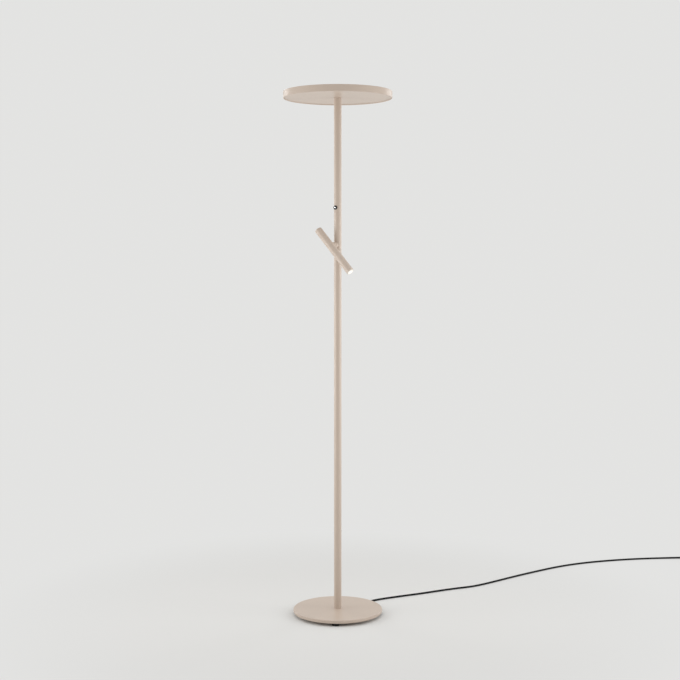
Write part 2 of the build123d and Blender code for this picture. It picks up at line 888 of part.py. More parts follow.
with BuildPart() as spot_lens:
    with BuildSketch(spot_end_view.offset(lens_back)):
        Circle(lens_radius - seat_gap)
    extrude(amount=lens_thickness)
    fillet(spot_lens.edges().sort_by(Axis(spot_centre, spot_direction))[-1], radius=lens_rounding)
save(spot_lens, "spot_lens")

# Lead inside the reading light, from the pivot to the heat sink

spot_lead_start = bolt_head_end + lead_turning_gap
spot_lead_end = spot_centre + spot_direction * heat_sink_back
spot_lead = lead(
    [(0, -spot_lead_start, pivot_height), tuple(spot_centre), tuple(spot_lead_end)],
    [spot_axis - spot_lead_start - lead_turning_gap],
    spot_lead_diameter,
)
save(spot_lead, "spot_lead")

# Free lead on the floor


def bend_radii(points, arc_share=0.45):
    """The arc at each point of a route that takes this share of the shorter run beside it."""
    radii = []
    for before, here, after in zip(points, points[1:], points[2:]):
        run_in = Vector(*here) - Vector(*before)
        run_out = Vector(*after) - Vector(*here)
        half_turn = radians(run_in.get_angle(run_out)) / 2
        radii.append(arc_share * min(run_in.length, run_out.length) / tan(half_turn))
    return radii


cord_radii = bend_radii(cord_route)
print("cord bend radii:", [round(radius) for radius in cord_radii])
cord_run = lead(cord_route, cord_radii, cord_diameter)
save(cord_run, "cord_run")

# Coil: it spirals in on the floor, climbs one layer at the middle and spirals out on top

coil_start = Vector(*cord_route[-1])
coil_heading = (coil_start - Vector(*cord_route[-2])).normalized()
coil_left = Vector(-coil_heading.Y, coil_heading.X, 0)
coil_low = cord_floor + coil_lift
coil_high = coil_low + coil_layer_step
coil_centre = coil_start + coil_heading * coil_straight - coil_left * coil_outer_radius
coil_centre.Z = 0
coil_inner_radius = coil_outer_radius - coil_pitch * coil_turns_in
coil_turns = coil_turns_in + coil_turns_climb + coil_turns_out


def coil_point(turn):
    """A point of the coil's middle line, after this many turns."""
    climbed = min(max((turn - coil_turns_in) / coil_turns_climb, 0), 1)
    turned_out = max(turn - coil_turns_in - coil_turns_climb, 0)
    radius = coil_inner_radius + coil_pitch * (max(coil_turns_in - turn, 0) + turned_out)
    height = coil_low + coil_layer_step * (1 - cos(pi * climbed)) / 2
    angle = pi / 2 - 2 * pi * turn
    across = coil_heading * (radius * cos(angle)) + coil_left * (radius * sin(angle))
    return coil_centre + across + Vector(0, 0, height)


def coil_tangent(turn, step=0.001):
    """The coil's direction at a turn; its two ends are square to the straight ends."""
    if turn == 0:
        return coil_heading
    if turn == coil_turns:
        return coil_left * -1
    return (coil_point(turn + step) - coil_point(turn - step)).normalized()


def biarc(start, start_tangent, end, end_tangent):
    """The point and tangent where two arcs meet that join two points at given tangents."""
    chord = end - start
    both = start_tangent + end_tangent
    bend = 2 * (1 - start_tangent.dot(end_tangent))
    reach = (sqrt(chord.dot(both) ** 2 + bend * chord.dot(chord)) - chord.dot(both)) / bend
    first_corner = start + start_tangent * reach
    second_corner = end - end_tangent * reach
    return (first_corner + second_corner) * 0.5, (second_corner - first_corner).normalized()


quarter_turns = [quarter / 4 for quarter in range(round(4 * coil_turns) + 1)]
coil_end = coil_point(coil_turns) - coil_left * coil_tail
with BuildPart() as cord_coil:
    with BuildLine() as coil_route:
        Line(coil_start, coil_point(0))
        for turn_from, turn_to in zip(quarter_turns, quarter_turns[1:]):
            arc_start, arc_end = coil_point(turn_from), coil_point(turn_to)
            meet, meet_tangent = biarc(arc_start, coil_tangent(turn_from), arc_end, coil_tangent(turn_to))
            TangentArc(arc_start, meet, tangent=coil_tangent(turn_from))
            TangentArc(meet, arc_end, tangent=meet_tangent)
        Line(coil_point(coil_turns), coil_end)
    with BuildSketch(Plane(origin=coil_start, z_dir=coil_heading)):
        Circle(cord_radius)
    sweep()
save(cord_coil, "cord_coil")

coil_wire = coil_route.wires()[0]
coil_length = coil_wire.length
sample_count = 400
coil_samples = [coil_wire @ (number / sample_count) for number in range(sample_count + 1)]
far_apart = round(sample_count * pi * coil_inner_radius / coil_length)
coil_gap = min(
    (there - here).length - cord_diameter
    for number, here in enumerate(coil_samples)
    for there in coil_samples[number + far_apart:]
)
print("coil: least gap to itself", round(coil_gap, 2), "length", round(coil_length))
cord_length = cord_run.part.volume / (pi * cord_radius**2)
print("cord: free run", round(cord_length), "whole length", round(cord_length + coil_length))

# Two ties round the coil

tie_inner = coil_inner_radius - cord_radius - tie_side_gap
tie_outer = coil_outer_radius + cord_radius + tie_side_gap
tie_low = coil_low - cord_radius - tie_gap
tie_high = coil_high + cord_radius + tie_gap
tie_middle_radius = (tie_inner + tie_outer) / 2
tie_middle_height = (tie_low + tie_high) / 2
with BuildPart() as cord_ties:
    for tie_angle in tie_angles:
        tie_across = coil_heading * cos(radians(tie_angle)) + coil_left * sin(radians(tie_angle))
        tie_plane = Plane(
            origin=coil_centre + tie_across * tie_middle_radius + Vector(0, 0, tie_middle_height),
            x_dir=tie_across,
            z_dir=tie_across.cross(Vector(0, 0, 1)),
        )
        with BuildSketch(tie_plane):
            RectangleRounded(
                tie_outer - tie_inner + 2 * tie_thickness,
                tie_high - tie_low + 2 * tie_thickness,
                tie_rounding + tie_thickness,
            )
            RectangleRounded(tie_outer - tie_inner, tie_high - tie_low, tie_rounding, mode=Mode.SUBTRACT)
        extrude(amount=tie_width / 2, both=True)
save(cord_ties, "cord_ties")

# Plug: a ribbed, tapered tail, a shoulder and a flat body that lies on the floor, with two pins

plug_direction = coil_left * -1
plug_plane = Plane(origin=coil_end, x_dir=coil_heading, z_dir=plug_direction)
plug_thickness = 2 * coil_high
shoulder_plane = plug_plane.offset(plug_tail_length)
body_plane = shoulder_plane.offset(plug_shoulder)
face_plane = body_plane.offset(plug_body_length)
with BuildPart() as cord_plug:
    with BuildSketch(plug_plane):
        Circle(plug_tail_tip / 2)
    with BuildSketch(shoulder_plane):
        Circle(plug_tail_root / 2)
    loft()
    for groove in range(1, plug_rib_count):
        groove_place = groove / plug_rib_count
        tail_radius = (plug_tail_tip + (plug_tail_root - plug_tail_tip) * groove_place) / 2
        with BuildSketch(plug_plane.offset(plug_tail_length * groove_place)):
            Circle(plug_tail_root / 2)
            Circle(tail_radius - plug_groove_depth, mode=Mode.SUBTRACT)
        extrude(amount=plug_groove_width / 2, both=True, mode=Mode.SUBTRACT)
    with BuildSketch(shoulder_plane):
        Circle(plug_tail_root / 2)
    with BuildSketch(body_plane):
        RectangleRounded(plug_width, plug_thickness, plug_corner)
    loft()
    with BuildSketch(body_plane):
        RectangleRounded(plug_width, plug_thickness, plug_corner)
    extrude(amount=plug_body_length)
    fillet(cord_plug.faces().sort_by(Axis(coil_end, plug_direction))[-1].edges(), radius=plug_rounding)
save(cord_plug, "cord_plug")

with BuildPart() as plug_pins:
    with BuildSketch(face_plane):
        with Locations((-pin_spacing / 2, 0), (pin_spacing / 2, 0)):
            Circle(pin_diameter / 2)
    extrude(amount=pin_length)
    chamfer(
        plug_pins.faces().sort_by(Axis(coil_end, plug_direction))[-2:].edges(), length=pin_tip
    )
save(plug_pins, "plug_pins")
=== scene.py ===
# %% [markdown]
# # A floor lamp with a reading light
# The lamp is a flat round uplight on a slim pole. A small tube light turns on the front of the pole,
# a push-button dimmer sits above it, and a round steel plate carries everything.
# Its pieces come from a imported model, in metres, with +Z up and the front of the lamp facing -Y.
# We could model the pieces again in Blender, but then their sizes would be written down twice.
# So every rigid piece stays where the model puts it, and we add finishes, a cord, light and a camera.

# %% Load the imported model
import json
import math

import bpy
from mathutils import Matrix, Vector


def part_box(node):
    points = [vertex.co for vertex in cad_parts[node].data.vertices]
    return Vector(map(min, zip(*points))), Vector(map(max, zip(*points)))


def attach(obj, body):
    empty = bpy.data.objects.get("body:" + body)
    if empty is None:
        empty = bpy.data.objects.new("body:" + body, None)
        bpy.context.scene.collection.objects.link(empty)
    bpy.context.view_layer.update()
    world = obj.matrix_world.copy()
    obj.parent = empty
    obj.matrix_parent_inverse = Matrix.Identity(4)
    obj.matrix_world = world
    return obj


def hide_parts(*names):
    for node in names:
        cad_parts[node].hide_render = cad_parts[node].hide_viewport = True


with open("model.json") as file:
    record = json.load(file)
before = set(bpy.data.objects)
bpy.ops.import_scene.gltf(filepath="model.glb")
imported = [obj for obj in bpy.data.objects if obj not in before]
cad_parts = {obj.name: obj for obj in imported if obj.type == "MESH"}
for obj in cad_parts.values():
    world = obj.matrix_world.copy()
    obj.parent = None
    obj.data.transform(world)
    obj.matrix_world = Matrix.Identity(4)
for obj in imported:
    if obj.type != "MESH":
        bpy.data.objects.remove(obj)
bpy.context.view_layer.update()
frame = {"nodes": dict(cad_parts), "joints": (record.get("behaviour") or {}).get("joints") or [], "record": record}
pieces = frame["nodes"]

# %% [markdown]
# ## The camera
# The picture was taken from about 1.2 m high, from well back, with a long lens.
# That is why the base shows its top while the head, higher than the lens, shows its underside.
# A camera could be aimed with a Track To constraint, but four plain numbers say more:
# how far round the lamp we stand, how far away, how high, and how much the lens dips.
# The lamp stands a touch left of the middle, which is the job of the lens shift.

# %% Place the camera
view_angle = math.radians(40)
view_distance = 4.0955
view_height = 1.1930
view_dip = math.radians(3.68)
film_width = 36
lens_length = 65.04
lens_shift = 0.0033


def put_in_scene(name, data):
    """A new object that holds this data, linked into the scene."""
    made = bpy.data.objects.new(name, data)
    bpy.context.scene.collection.objects.link(made)
    return made


camera_data = bpy.data.cameras.new("camera")
camera_data.sensor_width = film_width
camera_data.lens = lens_length
camera_data.shift_x = lens_shift
camera = put_in_scene("camera", camera_data)
camera.location = (view_distance * math.sin(view_angle), -view_distance * math.cos(view_angle), view_height)
camera.rotation_euler = (math.pi / 2 - view_dip, 0, view_angle)
bpy.context.scene.camera = camera
print("camera at", [round(value, 2) for value in camera.location])

# %% [markdown]
# ## The cord on the floor
# The lead comes out from under the back of the base and wanders off to the right.
# A polyline would look like bent wire, so we use a NURBS spline: its points pull the line towards
# them, and the line stays smooth between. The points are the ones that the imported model's lead follows.

# %% Points of the free lead
cord_thickness = 0.0064
cord_on_floor = cord_thickness / 2
cord_under_plate = 0.005
coil_lift = 0.0013
coil_height = cord_on_floor + coil_lift
lead_points = [
    Vector((0.000, 0.126, cord_under_plate)),
    Vector((0.000, 0.158, cord_under_plate)),
    Vector((-0.003, 0.201, cord_on_floor)),
    Vector((0.016, 0.252, cord_on_floor)),
    Vector((0.040, 0.308, cord_on_floor)),
    Vector((0.072, 0.377, cord_on_floor)),
    Vector((0.099, 0.447, cord_on_floor)),
    Vector((0.128, 0.515, cord_on_floor)),
    Vector((0.159, 0.573, cord_on_floor)),
    Vector((0.174, 0.632, cord_on_floor)),
    Vector((0.186, 0.701, cord_on_floor)),
    Vector((0.198, 0.778, cord_on_floor)),
    Vector((0.213, 0.860, cord_on_floor)),
    Vector((0.230, 0.941, cord_on_floor)),
    Vector((0.246, 1.012, cord_on_floor)),
    Vector((0.270, 1.086, cord_on_floor)),
    Vector((0.303, 1.160, cord_on_floor)),
    Vector((0.345, 1.232, cord_on_floor)),
    Vector((0.393, 1.302, cord_on_floor)),
    Vector((0.447, 1.369, cord_on_floor)),
    Vector((0.504, 1.429, cord_on_floor)),
    Vector((0.560, 1.480, coil_height)),
    Vector((0.604, 1.512, coil_height)),
]
print("lead points:", len(lead_points))

# %% [markdown]
# ## The coil
# The length that lies outside the picture is wound up and tied, as it would be in the lamp's box.
# It spirals in on the floor, lifted a little by the ties that pass under it, climbs one layer in the
# middle and spirals out on top to the plug. The coil could be a spiral curve of its own, but then the cord
# would be cut in two. So its turns are more points of the same spline, and we first write down their sizes.

# %% Sizes of the coil
coil_radius = 0.039
coil_pitch = 0.008
layer_step = 0.0072
turns_in = 1.5
turns_climb = 0.5
turns_out = 1.25
straight_in = 0.008
straight_out = 0.024
points_per_turn = 16

coil_heading = (lead_points[-1] - lead_points[-2]).normalized()
coil_left = Vector((-coil_heading.y, coil_heading.x, 0))
coil_centre = lead_points[-1] + coil_heading * straight_in - coil_left * coil_radius
inner_radius = coil_radius - coil_pitch * turns_in
all_turns = turns_in + turns_climb + turns_out
print("coil centre:", [round(value, 3) for value in coil_centre], "turns:", all_turns)

# %% [markdown]
# The points could be drawn by hand, but a circle drawn by hand is never round. A loop walks along the
# turns instead: the angle grows evenly, the radius shrinks, rests while the cord climbs, and grows again.
# The climb follows half a cosine wave, which starts and ends level, so the cord has no kink there.

# %% Points of the coil


def coil_point(turn):
    """A point of the coil after this many turns."""
    climbed = min(max((turn - turns_in) / turns_climb, 0), 1)
    wound_out = max(turn - turns_in - turns_climb, 0)
    radius = inner_radius + coil_pitch * (max(turns_in - turn, 0) + wound_out)
    angle = math.pi / 2 - 2 * math.pi * turn
    across = coil_heading * (radius * math.cos(angle)) + coil_left * (radius * math.sin(angle))
    return coil_centre + across + Vector((0, 0, layer_step * (1 - math.cos(math.pi * climbed)) / 2))


coil_steps = round(all_turns * points_per_turn)
coil_points = [coil_point(step / points_per_turn) for step in range(coil_steps + 1)]
coil_points.append(coil_points[-1] - coil_left * straight_out)
print("coil points:", len(coil_points))

# %% [markdown]
# ## From a line to a tube
# The cord is a round sheath. A circle could be swept along the line as a second object, but a bevel
# does the same with none. Each point's own radius scales the bevel, so with a bevel depth
# of 1 the radius is simply half the cord's thickness, and the curve's box is as tight as the tube.
# We set the order after adding the points, because a spline with too few points falls back to order 2.

# %% Lay the cord as one spline
cord_curve = bpy.data.curves.new("mains_cord", "CURVE")
cord_curve.dimensions = "3D"
cord_curve.bevel_depth = 1.0
cord_curve.bevel_resolution = 5
cord_curve.resolution_u = 8
cord_curve.use_fill_caps = True
cord_line = cord_curve.splines.new("NURBS")
cord_points = lead_points + coil_points
cord_line.points.add(len(cord_points) - 1)
for point, place in zip(cord_line.points, cord_points):
    point.co = (*place, 1)
    point.radius = cord_thickness / 2
cord_line.order_u = 3
cord_line.use_endpoint_u = True
mains_cord = put_in_scene("mains_cord", cord_curve)
print("cord length:", round(cord_line.calc_length(), 3))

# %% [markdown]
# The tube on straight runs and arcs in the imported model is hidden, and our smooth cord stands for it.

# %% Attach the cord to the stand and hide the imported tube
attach(mains_cord, "stand")
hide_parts("cord_run", "cord_coil")

# %% [markdown]
# ## How the finishes are made
# A finish could be a painted picture, but then every piece would have to be unwrapped first.
# Procedural textures need neither: Blender works them out at each point that it shades.
# All of them read object coordinates, which are real metres here, so a texture of
# "1 mm" is 1 mm on every piece, and it travels with a piece when a joint moves.
# We start with a material that holds one Principled shader, and a short way to add nodes to it.

# %% A material and its nodes


def set_inputs(node, **values):
    """Set values on a node's input sockets by name, with _ for a space."""
    for socket, value in values.items():
        node.inputs[socket.replace("_", " ")].default_value = value


def new_finish(name, **values):
    """A material with one Principled shader; returns the material, its node tree and the shader."""
    material = bpy.data.materials.new(name)
    material.use_nodes = True
    shader = material.node_tree.nodes["Principled BSDF"]
    set_inputs(shader, **values)
    return material, material.node_tree, shader


def add_node(tree, kind, **values):
    """A node of a kind, with values set on its input sockets."""
    node = tree.nodes.new("ShaderNode" + kind)
    set_inputs(node, **values)
    return node


def object_place(tree):
    """The socket that gives a point's place on its piece, in metres."""
    return add_node(tree, "TexCoord").outputs["Object"]


print("helpers:", [helper.__name__ for helper in (set_inputs, new_finish, add_node, object_place)])

# %% [markdown]
# No real surface is quite even. A painted mask could show that on one piece, but noise does it on all
# of them: it gives a factor from 0 to 1, in blotches of a size that we choose.

# %% Grain


def grain(tree, size, detail=3.0):
    """Noise whose blotches are about this many metres across."""
    noise = add_node(tree, "TexNoise", Scale=1 / size, Detail=detail, Roughness=0.55)
    tree.links.new(object_place(tree), noise.inputs["Vector"])
    return noise.outputs["Fac"]


print("helper:", grain.__name__)

# %% [markdown]
# A ramp turns a factor into colour. With many stops it can draw rings, and for a mottled finish two are
# enough, a darker and a lighter share of one colour. Most values of a noise lie near its middle, so these
# two stops stand in from the ends of the ramp.

# %% Colour from a factor


def colours_by(tree, factor, *stops):
    """A colour ramp over a factor; each stop is a place from 0 to 1 and a colour."""
    ramp = add_node(tree, "ValToRGB")
    tree.links.new(factor, ramp.inputs["Fac"])
    elements = ramp.color_ramp.elements
    while len(elements) < len(stops):
        elements.new(0.5)
    for element, (place, colour) in zip(elements, stops):
        element.position = place
        element.color = (*colour, 1)
    return ramp.outputs["Color"]


def mottled(tree, factor, colour, dark_share, light_share, edge=0.3):
    """A colour that varies with a noise, from a darker to a lighter share of itself."""
    dark, light = (tuple(channel * share for channel in colour) for share in (dark_share, light_share))
    return colours_by(tree, factor, (edge, dark), (1 - edge, light))


print("helpers:", [helper.__name__ for helper in (colours_by, mottled)])

# %% [markdown]
# The same factor can set a number, through a Map Range node, or a relief, through a Bump node.
# Each could have a noise of its own, but one that drives colour, sheen and relief together looks truer.

# %% Numbers and bumps from a factor


def ranged(tree, factor, low, high, start=0.0, end=1.0, blend="LINEAR"):
    """A number that goes from low to high as the factor goes from start to end."""
    spread = add_node(tree, "MapRange", From_Min=start, From_Max=end, To_Min=low, To_Max=high)
    spread.interpolation_type = blend
    tree.links.new(factor, spread.inputs["Value"])
    return spread.outputs["Result"]


def bumps(tree, shader, height, depth, strength):
    """Bumps of this depth in metres on a shader."""
    bump = add_node(tree, "Bump", Strength=strength, Distance=depth)
    tree.links.new(height, bump.inputs["Height"])
    tree.links.new(bump.outputs["Normal"], shader.inputs["Normal"])


print("helpers:", [helper.__name__ for helper in (ranged, bumps)])

# %% [markdown]
# ## Sand-coloured powder coat
# The base, the tubes and the dish share one finish: a warm sand powder coat with a satin sheen.
# Powder melts into a skin with a very fine orange peel. The peel could be displaced geometry, but it is
# only about a tenth of a millimetre deep and shows in the sheen alone, so bumps are enough. One noise of
# under a millimetre gives the peel, its specks and an uneven sheen, and a wide one keeps large faces
# from looking printed.

# %% Powder coat
sand = (0.588, 0.484, 0.402)
peel_size = 0.0008
peel_depth = 0.00013
drift_size = 0.12
drift_shade = (0.975, 0.975, 0.98)
drift_clear = (1.0, 1.0, 1.0)

sand_coat, tree, shader = new_finish("sand_powder_coat")
peel = grain(tree, peel_size, detail=4)
drift = grain(tree, drift_size, detail=2)
specks = mottled(tree, peel, sand, dark_share=0.94, light_share=1.05)
cloud = colours_by(tree, drift, (0.3, drift_shade), (0.7, drift_clear))
both = add_node(tree, "Mix")
both.data_type = "RGBA"
both.blend_type = "MULTIPLY"
both.inputs["Factor"].default_value = 1.0
tree.links.new(specks, both.inputs["A"])
tree.links.new(cloud, both.inputs["B"])
tree.links.new(both.outputs["Result"], shader.inputs["Base Color"])
tree.links.new(ranged(tree, peel, low=0.30, high=0.42), shader.inputs["Roughness"])
bumps(tree, shader, peel, peel_depth, strength=0.7)
print("powder coat:", sand_coat.name)

# %% [markdown]
# ## Black rubber, plastic and cord sheath
# Black is never quite black: a little light on it shows the moulding. The feet are dull rubber,
# the bezel, clamp, ties and plug have the fine spark texture of a mould, and the cord is soft
# and smooth. One black for all would be quicker, but they differ in grain and sheen more than
# in colour, so one function takes those as its numbers and makes three finishes.

# %% Three blacks
rubber_black = (0.012, 0.012, 0.012)
plastic_black = (0.007, 0.007, 0.008)
sheath_black = (0.004, 0.004, 0.005)


def moulded_black(name, colour, roughness, gloss, grain_size, depth):
    """A black moulding with a fine texture."""
    material, tree, shader = new_finish(name, Specular_IOR_Level=gloss)
    texture = grain(tree, grain_size)
    tone = mottled(tree, texture, colour, dark_share=0.75, light_share=1.25)
    sheen = ranged(tree, texture, low=roughness - 0.06, high=roughness + 0.08)
    tree.links.new(tone, shader.inputs["Base Color"])
    tree.links.new(sheen, shader.inputs["Roughness"])
    bumps(tree, shader, texture, depth, strength=0.5)
    return material


foot_rubber = moulded_black(
    "foot_rubber", rubber_black, roughness=0.78, gloss=0.3, grain_size=0.0012, depth=0.00012
)
black_moulding = moulded_black(
    "black_moulding", plastic_black, roughness=0.5, gloss=0.25, grain_size=0.0005, depth=0.00004
)
cord_sheath = moulded_black(
    "cord_sheath", sheath_black, roughness=0.55, gloss=0.2, grain_size=0.0016, depth=0.00005
)
mains_cord.data.materials.append(cord_sheath)
print("blacks:", foot_rubber.name, black_moulding.name, cord_sheath.name)

# %% [markdown]
# ## The dimmer's button
# The button is a bright metal cap, turned on a lathe, and the tool leaves fine rings round its axis.
# They could be cut into the mesh, but at three rings to a millimetre they only show in its shine.
# So we work out how far each point is from the axis, and a sine of that distance makes the rings.
# Small functions of Math and Vector Math nodes do this, because each node holds one sum only.

# %% Distance from an axis, and rings


def worked_out(tree, kind, operation, *terms):
    """A Math or VectorMath node; each term is a socket to link or a plain value."""
    node = add_node(tree, kind)
    node.operation = operation
    for socket, term in zip(node.inputs, terms):
        if isinstance(term, bpy.types.NodeSocket):
            tree.links.new(term, socket)
        else:
            socket.default_value = term
    return node.outputs


def arm_from(tree, point):
    """The arrow from a fixed point to a point of the piece."""
    return worked_out(tree, "VectorMath", "SUBTRACT", object_place(tree), point)["Vector"]


def from_axis(tree, point, direction):
    """How far a point of the piece is from an axis, in metres."""
    turned = worked_out(tree, "VectorMath", "CROSS_PRODUCT", arm_from(tree, point), direction)["Vector"]
    return worked_out(tree, "VectorMath", "LENGTH", turned)["Value"]


def rings(tree, distance, spacing):
    """Even waves from -1 to 1, one for each spacing in metres of a distance."""
    phase = worked_out(tree, "Math", "MULTIPLY", distance, 2 * math.pi / spacing)["Value"]
    return worked_out(tree, "Math", "SINE", phase)["Value"]


print("helpers:", [helper.__name__ for helper in (worked_out, arm_from, from_axis, rings)])

# %% [markdown]
# The axis of the cap points at the pole, through the middle of the cap's box. We could write that place
# down, but reading it from the imported model keeps the rings centred if the dimmer ever moves.
# A ramp makes the crests of the rings a little lighter than their troughs: a painted highlight on the crests and
# painted shade in the troughs, over the real relief that the bump gives.

# %% Turned button
ring_spacing = 0.0003
ring_depth = 0.00001
# Painted shade for the troughs of the rings and a painted highlight for their crests.
painted_trough_shade = (0.68, 0.68, 0.67)
painted_crest_highlight = (0.76, 0.76, 0.75)
to_pole = Vector((0, 1, 0))

button_low, button_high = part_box("dimmer_button")
button_centre = (button_low + button_high) / 2
button_metal, tree, shader = new_finish("turned_button", Roughness=0.22, Metallic=1.0)
turning = rings(tree, from_axis(tree, button_centre, to_pole), ring_spacing)
ring_share = ranged(tree, turning, low=0, high=1, start=-1, end=1)
ring_painted_light = colours_by(tree, ring_share, (0.0, painted_trough_shade), (1.0, painted_crest_highlight))
tree.links.new(ring_painted_light, shader.inputs["Base Color"])
bumps(tree, shader, turning, ring_depth, strength=0.5)
print("button at", [round(value, 4) for value in button_centre])

# %% [markdown]
# ## Plated and bare metals
# Nuts, bolts, washers and sleeves are zinc-plated steel. The heat sink and the ring under the opal disc are
# bare aluminium, and the reading light has a bright reflector. A plain Metallic value of 1 would look
# like chrome, so a fine noise makes colour and sheen a little uneven, as plating is.

# %% Steel, aluminium and reflector
zinc = (0.62, 0.62, 0.60)
aluminium = (0.78, 0.78, 0.79)
silver = (0.90, 0.90, 0.90)
metal_depth = 0.00002
metal_bump = 0.4


def plain_metal(name, colour, roughness, grain_size):
    """Metal with a slightly uneven sheen."""
    material, tree, shader = new_finish(name, Metallic=1.0)
    texture = grain(tree, grain_size)
    tone = mottled(tree, texture, colour, dark_share=0.9, light_share=1.05, edge=0.25)
    sheen = ranged(tree, texture, low=roughness - 0.07, high=roughness + 0.07)
    tree.links.new(tone, shader.inputs["Base Color"])
    tree.links.new(sheen, shader.inputs["Roughness"])
    bumps(tree, shader, texture, metal_depth, strength=metal_bump)
    return material


zinc_steel = plain_metal("zinc_steel", zinc, roughness=0.36, grain_size=0.002)
bare_aluminium = plain_metal("bare_aluminium", aluminium, roughness=0.34, grain_size=0.0015)
bright_reflector = plain_metal("bright_reflector", silver, roughness=0.12, grain_size=0.004)
print("metals:", zinc_steel.name, bare_aluminium.name, bright_reflector.name)

# %% [markdown]
# ## The pins of the plug
# The roots of the pins wear black sleeves, so that no finger can touch live metal while the plug is
# half in its socket. The sleeves could be pieces of their own, but a sleeve is flush with its pin, so it
# needs no shape: the distance along the plug goes through one steep step, and that step changes
# colour, sheen and metal together.

# %% Sleeved pins
plug_start = coil_points[-1]
plug_direction = -coil_left
plug_length = 0.068
sleeve_length = 0.010
sleeve_end = plug_length + sleeve_length
step_width = 0.0002
nickel = (0.70, 0.68, 0.62)
pin_grain = 0.002
pin_roughness = 0.24
sleeve_roughness = 0.5


def along_axis(tree, point, direction):
    """How far a point of the piece is along an axis, in metres."""
    return worked_out(tree, "VectorMath", "DOT_PRODUCT", arm_from(tree, point), direction)["Value"]


sleeved_pins, tree, shader = new_finish("sleeved_pins")
along = along_axis(tree, plug_start, plug_direction)
bare = ranged(tree, along, low=0, high=1, start=sleeve_end, end=sleeve_end + step_width)
pin_tone = colours_by(tree, bare, (0.0, plastic_black), (1.0, nickel))
tree.links.new(pin_tone, shader.inputs["Base Color"])
tree.links.new(bare, shader.inputs["Metallic"])
tree.links.new(ranged(tree, bare, low=sleeve_roughness, high=pin_roughness), shader.inputs["Roughness"])
bumps(tree, shader, grain(tree, pin_grain), metal_depth, strength=metal_bump)
print("plug starts at", [round(value, 3) for value in plug_start])

# %% [markdown]
# ## The uplight's opal disc
# The uplight is on. Under its opal disc sit two rows of small light-emitting packages, which show
# through as two soft warm rings, not as dots. Lamps under a translucent disc would take long to render
# without noise, so the disc glows by itself: a ramp over the distance from its middle draws the rings.
# A real lamp would also blow the picture out, so the glow is only strong enough to look lit.

# %% Opal disc
disc_glow = 0.46
disc_grain = 0.0012
disc_middle = (0.42, 0.38, 0.31)
disc_inside = (0.60, 0.55, 0.46)
disc_ring = (1.0, 0.94, 0.80)
disc_between = (0.88, 0.82, 0.69)
disc_edge = (0.50, 0.45, 0.36)
up = Vector((0, 0, 1))
lamp_foot = Vector((0, 0, 0))

disc_low, disc_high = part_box("head_diffuser")
disc_radius = (disc_high.x - disc_low.x) / 2
opal_disc, tree, shader = new_finish(
    "opal_disc",
    Base_Color=(0.58, 0.57, 0.54, 1),
    Roughness=0.5,
    Subsurface_Weight=0.2,
    Subsurface_Radius=(0.004, 0.004, 0.003),
    Emission_Strength=disc_glow,
)
disc_place = ranged(tree, from_axis(tree, lamp_foot, up), low=0, high=1, end=disc_radius)
ring_glow = colours_by(
    tree,
    disc_place,
    (0.0, disc_middle),
    (0.45, disc_inside),
    (0.67, disc_ring),
    (0.745, disc_between),
    (0.82, disc_ring),
    (1.0, disc_edge),
)
tree.links.new(ring_glow, shader.inputs["Emission Color"])
bumps(tree, shader, grain(tree, disc_grain), depth=0.00003, strength=0.3)
print("disc radius:", round(disc_radius, 4))

# %% [markdown]
# ## The reading light's lens
# The lens is frosted and lit from behind, so it is brightest in its middle and dims towards its edge.
# It could be rough glass with a lamp behind it, but at this size that would only add noise.
# So the lens glows as the disc does, with a ramp over the distance from the axis of the light. That axis
# runs from the pivot to the middle of the lens.

# %% Frosted lens
lens_shine = 0.6
lens_grain = 0.0008
lens_middle = (1.0, 0.98, 0.92)
lens_halfway = (0.92, 0.89, 0.81)
lens_edge = (0.44, 0.41, 0.35)

lens_low, lens_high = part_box("spot_lens")
lens_centre = (lens_low + lens_high) / 2
lens_radius = (lens_high.y - lens_low.y) / 2
swivel = next(joint for joint in frame["joints"] if joint["name"] == "reading_light_swivel")
spot_axis = (lens_centre - Vector(swivel["pos_m"])).normalized()
frosted_lens, tree, shader = new_finish(
    "frosted_lens", Base_Color=(0.56, 0.55, 0.52, 1), Roughness=0.35, Emission_Strength=lens_shine
)
lens_place = ranged(tree, from_axis(tree, lens_centre, spot_axis), low=0, high=1, end=lens_radius)
lens_glow = colours_by(tree, lens_place, (0.0, lens_middle), (0.5, lens_halfway), (1.0, lens_edge))
tree.links.new(lens_glow, shader.inputs["Emission Color"])
bumps(tree, shader, grain(tree, lens_grain), depth=0.00005, strength=0.5)
print("lens axis:", [round(value, 3) for value in spot_axis])

# %% [markdown]
# ## Inside the lamp
# Boards, packages, the driver and the thin leads never show, yet the model can be taken apart.
# They could stay grey, but then a part taken out would look unfinished. A simple finish each is enough:
# solder mask, phosphor, nylon and coloured insulation, all with a faint grain.

# %% Boards, plastics and insulation
mask_white = (0.80, 0.80, 0.76)
phosphor_yellow = (0.82, 0.66, 0.20)
nylon_white = (0.76, 0.75, 0.71)
wire_red = (0.42, 0.05, 0.04)


def plain_plastic(name, colour, roughness, grain_size):
    """A plastic with a faint grain in its colour and surface."""
    material, tree, shader = new_finish(name, Roughness=roughness)
    texture = grain(tree, grain_size)
    tone = mottled(tree, texture, colour, dark_share=0.93, light_share=1.05)
    tree.links.new(tone, shader.inputs["Base Color"])
    bumps(tree, shader, texture, depth=0.00003, strength=0.3)
    return material


solder_mask = plain_plastic("solder_mask", mask_white, roughness=0.35, grain_size=0.003)
phosphor = plain_plastic("phosphor", phosphor_yellow, roughness=0.4, grain_size=0.001)
white_nylon = plain_plastic("white_nylon", nylon_white, roughness=0.5, grain_size=0.002)
red_insulation = plain_plastic("red_insulation", wire_red, roughness=0.45, grain_size=0.001)
print("inner finishes:", solder_mask.name, phosphor.name, white_nylon.name, red_insulation.name)

# %% [markdown]
# ## Give every piece its finish
# We could set each piece's material by its name, 48 times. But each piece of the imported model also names
# its material slot, and each slot has one finish here. Going by slot keeps the list short, and a
# piece whose slot has no finish stops the script, so none is forgotten.

